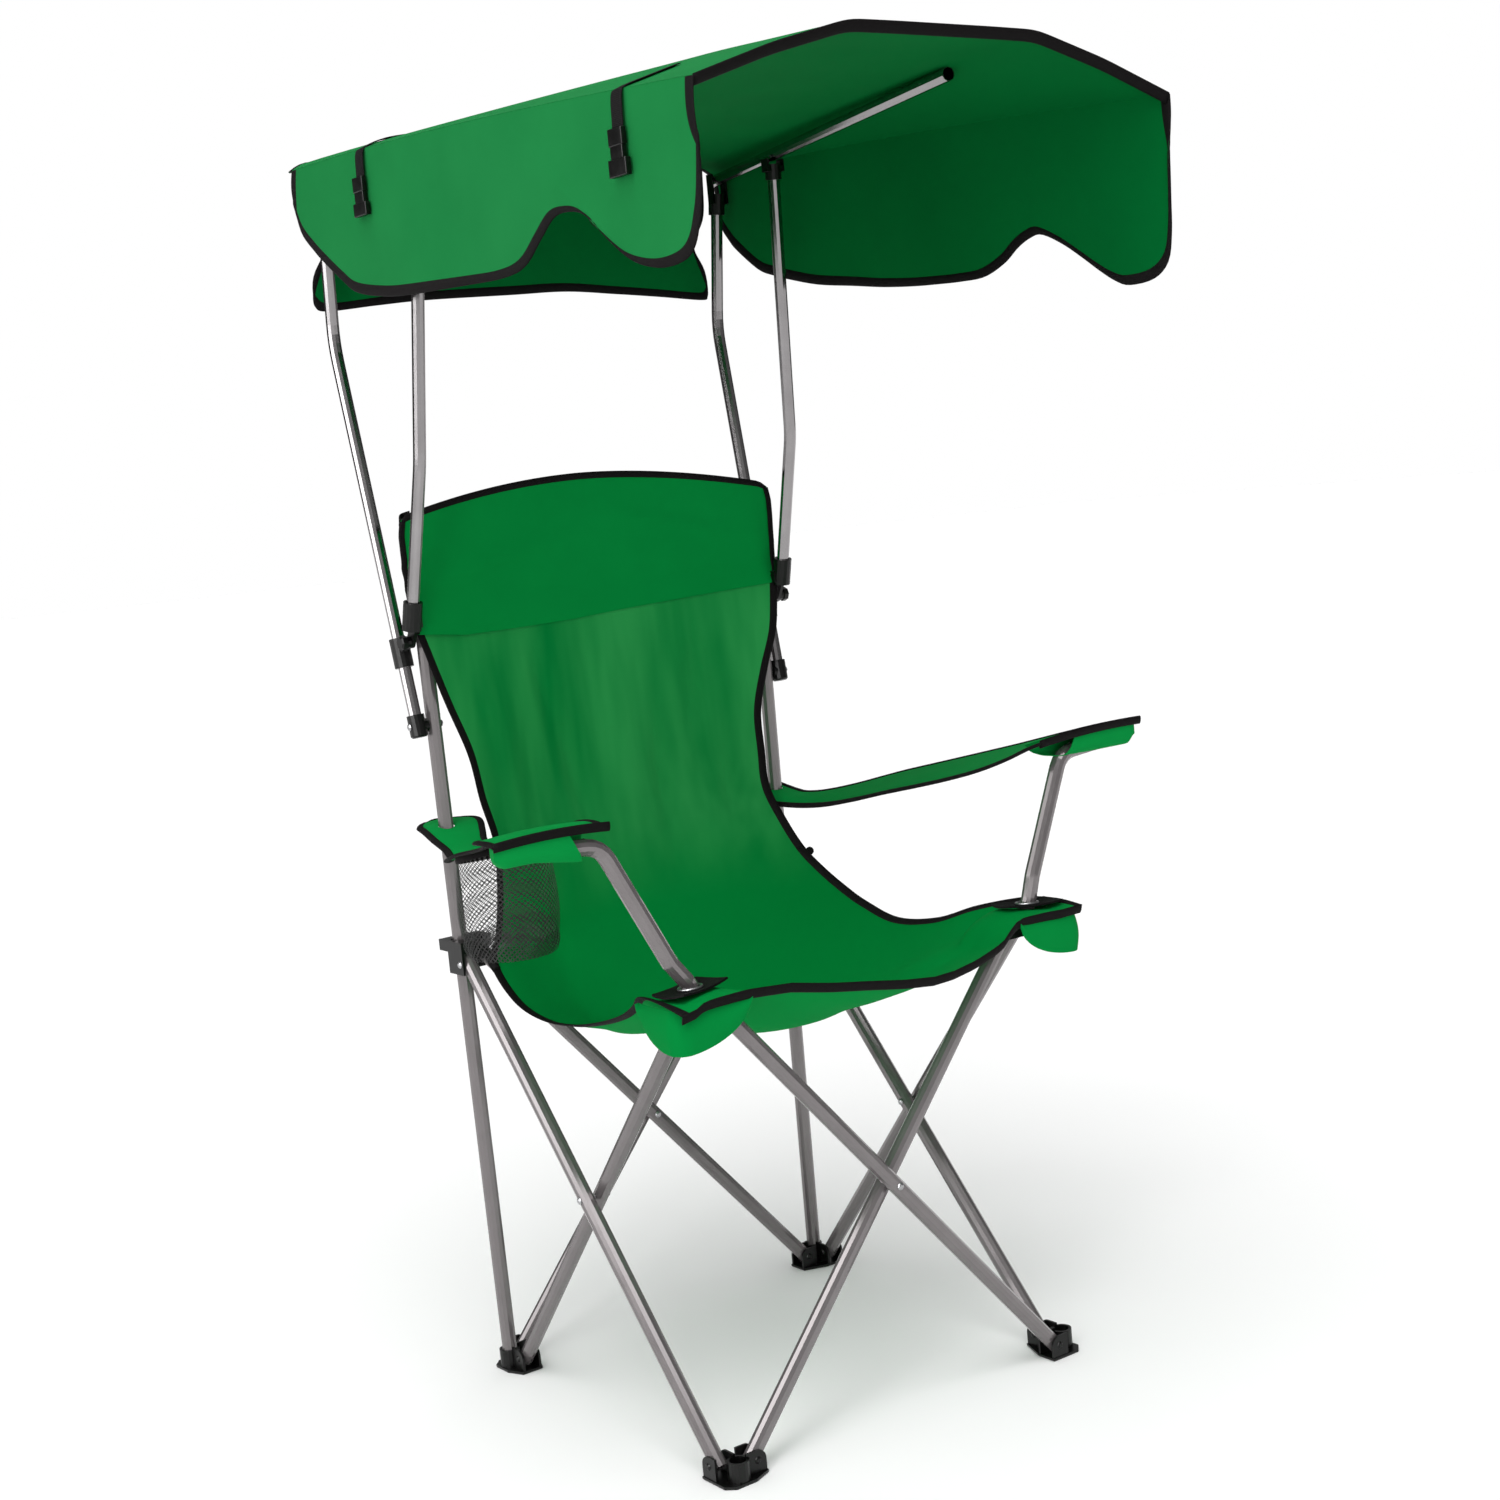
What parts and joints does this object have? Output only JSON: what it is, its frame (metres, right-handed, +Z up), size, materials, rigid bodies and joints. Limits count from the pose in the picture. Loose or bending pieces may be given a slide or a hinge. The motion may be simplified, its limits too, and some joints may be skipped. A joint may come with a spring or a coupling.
{
  "type": "canopy beach chair",
  "caption": "Folding quad-frame beach chair with sling seat and back, arm covers, net cup holder and a tilting fabric canopy on struts.",
  "frame": {"origin": "on the floor, under the middle of the whole chair", "axes": "+Z up, -Y towards the front of the chair, -X towards its left as seen from the front"},
  "size_m": [0.93, 0.8492, 1.529],
  "materials": {
    "grey_paint": "satin",
    "bright_steel": "bright",
    "black_moulding": "glossy",
    "zinc": "plain",
    "green_cloth": "woven",
    "black_net": "net"
  },
  "bodies": {
    "root": {"foot_rear_left": "black_moulding", "post_left": "grey_paint", "swing_bolt_left": "zinc", "back_panel": "green_cloth", "back_band": "green_cloth", "arm_cover_left": "green_cloth", "cup_holder": "black_net"},
    "left_arm": {"arm_tube_left": "grey_paint", "middle_rivet_left": "zinc"},
    "hub_front_left": {"hub_front_left": "black_moulding", "hub_rivet_front_left_left": "zinc", "hub_rivet_front_left_front": "zinc"},
    "left_leg": {"side_tube_left": "grey_paint"},
    "foot_front_left": {"foot_front_left": "black_moulding"},
    "front_inner": {"front_tube_inner": "grey_paint", "middle_rivet_front": "zinc"},
    "front_outer": {"front_tube_outer": "grey_paint"},
    "foot_front_right": {"foot_front_right": "black_moulding"},
    "back_outer": {"back_tube_outer": "grey_paint", "middle_rivet_back": "zinc"},
    "hub_rear_right": {"hub_rear_right": "black_moulding", "hub_rivet_rear_right_right": "zinc", "hub_rivet_rear_right_back": "zinc"},
    "back_inner": {"back_tube_inner": "grey_paint"},
    "hub_rear_left": {"hub_rear_left": "black_moulding", "hub_rivet_rear_left_back": "zinc", "hub_rivet_rear_left_left": "zinc"},
    "foot_rear_right": {"foot_rear_right": "black_moulding", "post_right": "grey_paint", "swing_bolt_right": "zinc", "arm_cover_right": "green_cloth"},
    "right_arm": {"arm_tube_right": "grey_paint", "middle_rivet_right": "zinc"},
    "hub_front_right": {"hub_front_right": "black_moulding", "hub_rivet_front_right_front": "zinc", "hub_rivet_front_right_right": "zinc"},
    "right_leg": {"side_tube_right": "grey_paint"},
    "seat": {"seat": "green_cloth"},
    "rear_strut_left": {"rear_strut_left": "bright_steel", "end_cap_left": "black_moulding", "corner_joint_left": "black_moulding"},
    "clamp_left": {"clamp_left": "black_moulding"},
    "front_strut_left": {"front_strut_left": "bright_steel", "strut_socket_left": "black_moulding", "strut_collar_left": "black_moulding"},
    "knob_left": {"knob_left": "black_moulding"},
    "roof_bar_left": {"roof_bar_left": "bright_steel", "canopy_roof": "green_cloth", "side_flap_left": "green_cloth", "side_flap_right": "green_cloth", "rear_flap": "green_cloth"},
    "rear_strut_right": {"rear_strut_right": "bright_steel", "end_cap_right": "black_moulding", "corner_joint_right": "black_moulding"},
    "clamp_right": {"clamp_right": "black_moulding"},
    "front_strut_right": {"front_strut_right": "bright_steel", "strut_socket_right": "black_moulding", "strut_collar_right": "black_moulding"},
    "knob_right": {"knob_right": "black_moulding"},
    "roof_bar_right": {"roof_bar_right": "bright_steel"}
  },
  "joints": [
    {"name": "fold", "type": "hinge", "parent": "root", "child": "left_arm", "pos_m": [-0.2373, 0.3, 0.018], "axis": [-1, 0, 0], "range_deg": [0, 28.9], "deforming": ["back_panel", "back_band", "arm_cover_left", "arm_cover_right", "cup_holder", "seat", "canopy_roof", "side_flap_left", "side_flap_right", "rear_flap"]},
    {"name": "fold_hub_front_left", "type": "hinge", "parent": "left_arm", "child": "hub_front_left", "pos_m": [-0.2373, -0.145, 0.533], "axis": [-1, 0, 0], "range_deg": [-28.9, 0]},
    {"name": "fold_left_cross", "type": "hinge", "parent": "left_arm", "child": "left_leg", "pos_m": [-0.2475, 0.0775, 0.2755], "axis": [-1, 0, 0], "range_deg": [-57.8, 0]},
    {"name": "fold_foot_front_left", "type": "hinge", "parent": "left_leg", "child": "foot_front_left", "pos_m": [-0.2577, -0.145, 0.018], "axis": [-1, 0, 0], "range_deg": [0, 28.9]},
    {"name": "fold_front_inner", "type": "hinge", "parent": "foot_front_left", "child": "front_inner", "pos_m": [-0.2225, -0.1598, 0.018], "axis": [0, -1, 0], "range_deg": [0, 28.9]},
    {"name": "fold_front_cross", "type": "hinge", "parent": "front_inner", "child": "front_outer", "pos_m": [0, -0.17, 0.2755], "axis": [0, -1, 0], "range_deg": [-57.8, 0]},
    {"name": "fold_foot_front_right", "type": "hinge", "parent": "front_outer", "child": "foot_front_right", "pos_m": [0.2225, -0.1802, 0.018], "axis": [0, -1, 0], "range_deg": [0, 28.9]},
    {"name": "fold_back_outer", "type": "hinge", "parent": "root", "child": "back_outer", "pos_m": [-0.2225, 0.3352, 0.018], "axis": [0, -1, 0], "range_deg": [0, 28.9]},
    {"name": "fold_hub_rear_right", "type": "hinge", "parent": "back_outer", "child": "hub_rear_right", "pos_m": [0.2225, 0.3352, 0.533], "axis": [0, -1, 0], "range_deg": [-28.9, 0]},
    {"name": "fold_back_cross", "type": "hinge", "parent": "back_outer", "child": "back_inner", "pos_m": [0, 0.325, 0.2755], "axis": [0, -1, 0], "range_deg": [-57.8, 0]},
    {"name": "fold_hub_rear_left", "type": "hinge", "parent": "back_inner", "child": "hub_rear_left", "pos_m": [-0.2225, 0.3148, 0.533], "axis": [0, -1, 0], "range_deg": [0, 28.9]},
    {"name": "fold_foot_rear_right", "type": "hinge", "parent": "back_inner", "child": "foot_rear_right", "pos_m": [0.2225, 0.3148, 0.018], "axis": [0, -1, 0], "range_deg": [0, 28.9]},
    {"name": "fold_right_arm", "type": "hinge", "parent": "foot_rear_right", "child": "right_arm", "pos_m": [0.2577, 0.3, 0.018], "axis": [-1, 0, 0], "range_deg": [0, 28.9]},
    {"name": "fold_hub_front_right", "type": "hinge", "parent": "right_arm", "child": "hub_front_right", "pos_m": [0.2577, -0.145, 0.533], "axis": [-1, 0, 0], "range_deg": [-28.9, 0]},
    {"name": "fold_right_cross", "type": "hinge", "parent": "right_arm", "child": "right_leg", "pos_m": [0.2475, 0.0775, 0.2755], "axis": [-1, 0, 0], "range_deg": [-57.8, 0]},
    {"name": "fold_seat", "type": "hinge", "parent": "hub_rear_left", "child": "seat", "pos_m": [0, 0.303, 0.5575], "axis": [-1, 0, 0], "range_deg": [0, 66.5]},
    {"name": "canopy_swing", "type": "hinge", "parent": "root", "child": "rear_strut_left", "pos_m": [-0.28, 0.3235, 0.832], "axis": [-1, 0, 0], "range_deg": [0, 105]},
    {"name": "canopy_tilt", "type": "hinge", "parent": "rear_strut_left", "child": "roof_bar_left", "pos_m": [-0.297, 0.3835, 1.503], "axis": [1, 0, 0], "range_deg": [0, 12.3]},
    {"name": "clamp_slide_left", "type": "slide", "parent": "rear_strut_left", "child": "clamp_left", "axis": [-0.0249, 0.1724, 0.9847], "range_m": [-0.0402, 0]},
    {"name": "front_strut_turn_left", "type": "hinge", "parent": "clamp_left", "child": "front_strut_left", "pos_m": [-0.2835, 0.3135, 0.936], "axis": [1, 0, 0], "range_deg": [-1.1, 0]},
    {"name": "knob_turn_left", "type": "hinge", "parent": "clamp_left", "child": "knob_left", "pos_m": [-0.2835, 0.3135, 0.936], "axis": [-1, 0, 0], "continuous": true},
    {"name": "canopy_swing_right", "type": "hinge", "parent": "foot_rear_right", "child": "rear_strut_right", "pos_m": [0.28, 0.3235, 0.832], "axis": [-1, 0, 0], "range_deg": [0, 105]},
    {"name": "canopy_tilt_right", "type": "hinge", "parent": "rear_strut_right", "child": "roof_bar_right", "pos_m": [0.297, 0.3835, 1.503], "axis": [1, 0, 0], "range_deg": [0, 12.3]},
    {"name": "clamp_slide_right", "type": "slide", "parent": "rear_strut_right", "child": "clamp_right", "axis": [0.0249, 0.1724, 0.9847], "range_m": [-0.0402, 0]},
    {"name": "front_strut_turn_right", "type": "hinge", "parent": "clamp_right", "child": "front_strut_right", "pos_m": [0.2835, 0.3135, 0.936], "axis": [1, 0, 0], "range_deg": [-1.1, 0]},
    {"name": "knob_turn_right", "type": "hinge", "parent": "clamp_right", "child": "knob_right", "pos_m": [0.2835, 0.3135, 0.936], "axis": [1, 0, 0], "continuous": true}
  ],
  "couplings": [
    {"joint": "fold_hub_front_left", "follows": "fold", "ratio": -1},
    {"joint": "fold_left_cross", "follows": "fold", "ratio": -2},
    {"joint": "fold_foot_front_left", "follows": "fold", "ratio": 1},
    {"joint": "fold_front_inner", "follows": "fold", "ratio": 1},
    {"joint": "fold_front_cross", "follows": "fold", "ratio": -2},
    {"joint": "fold_foot_front_right", "follows": "fold", "ratio": 1},
    {"joint": "fold_back_outer", "follows": "fold", "ratio": 1},
    {"joint": "fold_hub_rear_right", "follows": "fold", "ratio": -1},
    {"joint": "fold_back_cross", "follows": "fold", "ratio": -2},
    {"joint": "fold_hub_rear_left", "follows": "fold", "ratio": 1},
    {"joint": "fold_foot_rear_right", "follows": "fold", "ratio": 1},
    {"joint": "fold_right_arm", "follows": "fold", "ratio": 1},
    {"joint": "fold_hub_front_right", "follows": "fold", "ratio": -1},
    {"joint": "fold_right_cross", "follows": "fold", "ratio": -2},
    {"joint": "fold_seat", "follows": "fold", "ratio": 2.3},
    {"joint": "clamp_slide_left", "follows": "canopy_tilt", "m_per_rad": -0.18628},
    {"joint": "front_strut_turn_left", "follows": "canopy_tilt", "ratio": -0.085},
    {"joint": "canopy_swing_right", "follows": "canopy_swing", "ratio": 1},
    {"joint": "canopy_tilt_right", "follows": "canopy_tilt", "ratio": 1},
    {"joint": "clamp_slide_right", "follows": "canopy_tilt", "m_per_rad": -0.18628},
    {"joint": "front_strut_turn_right", "follows": "canopy_tilt", "ratio": -0.085}
  ]
}
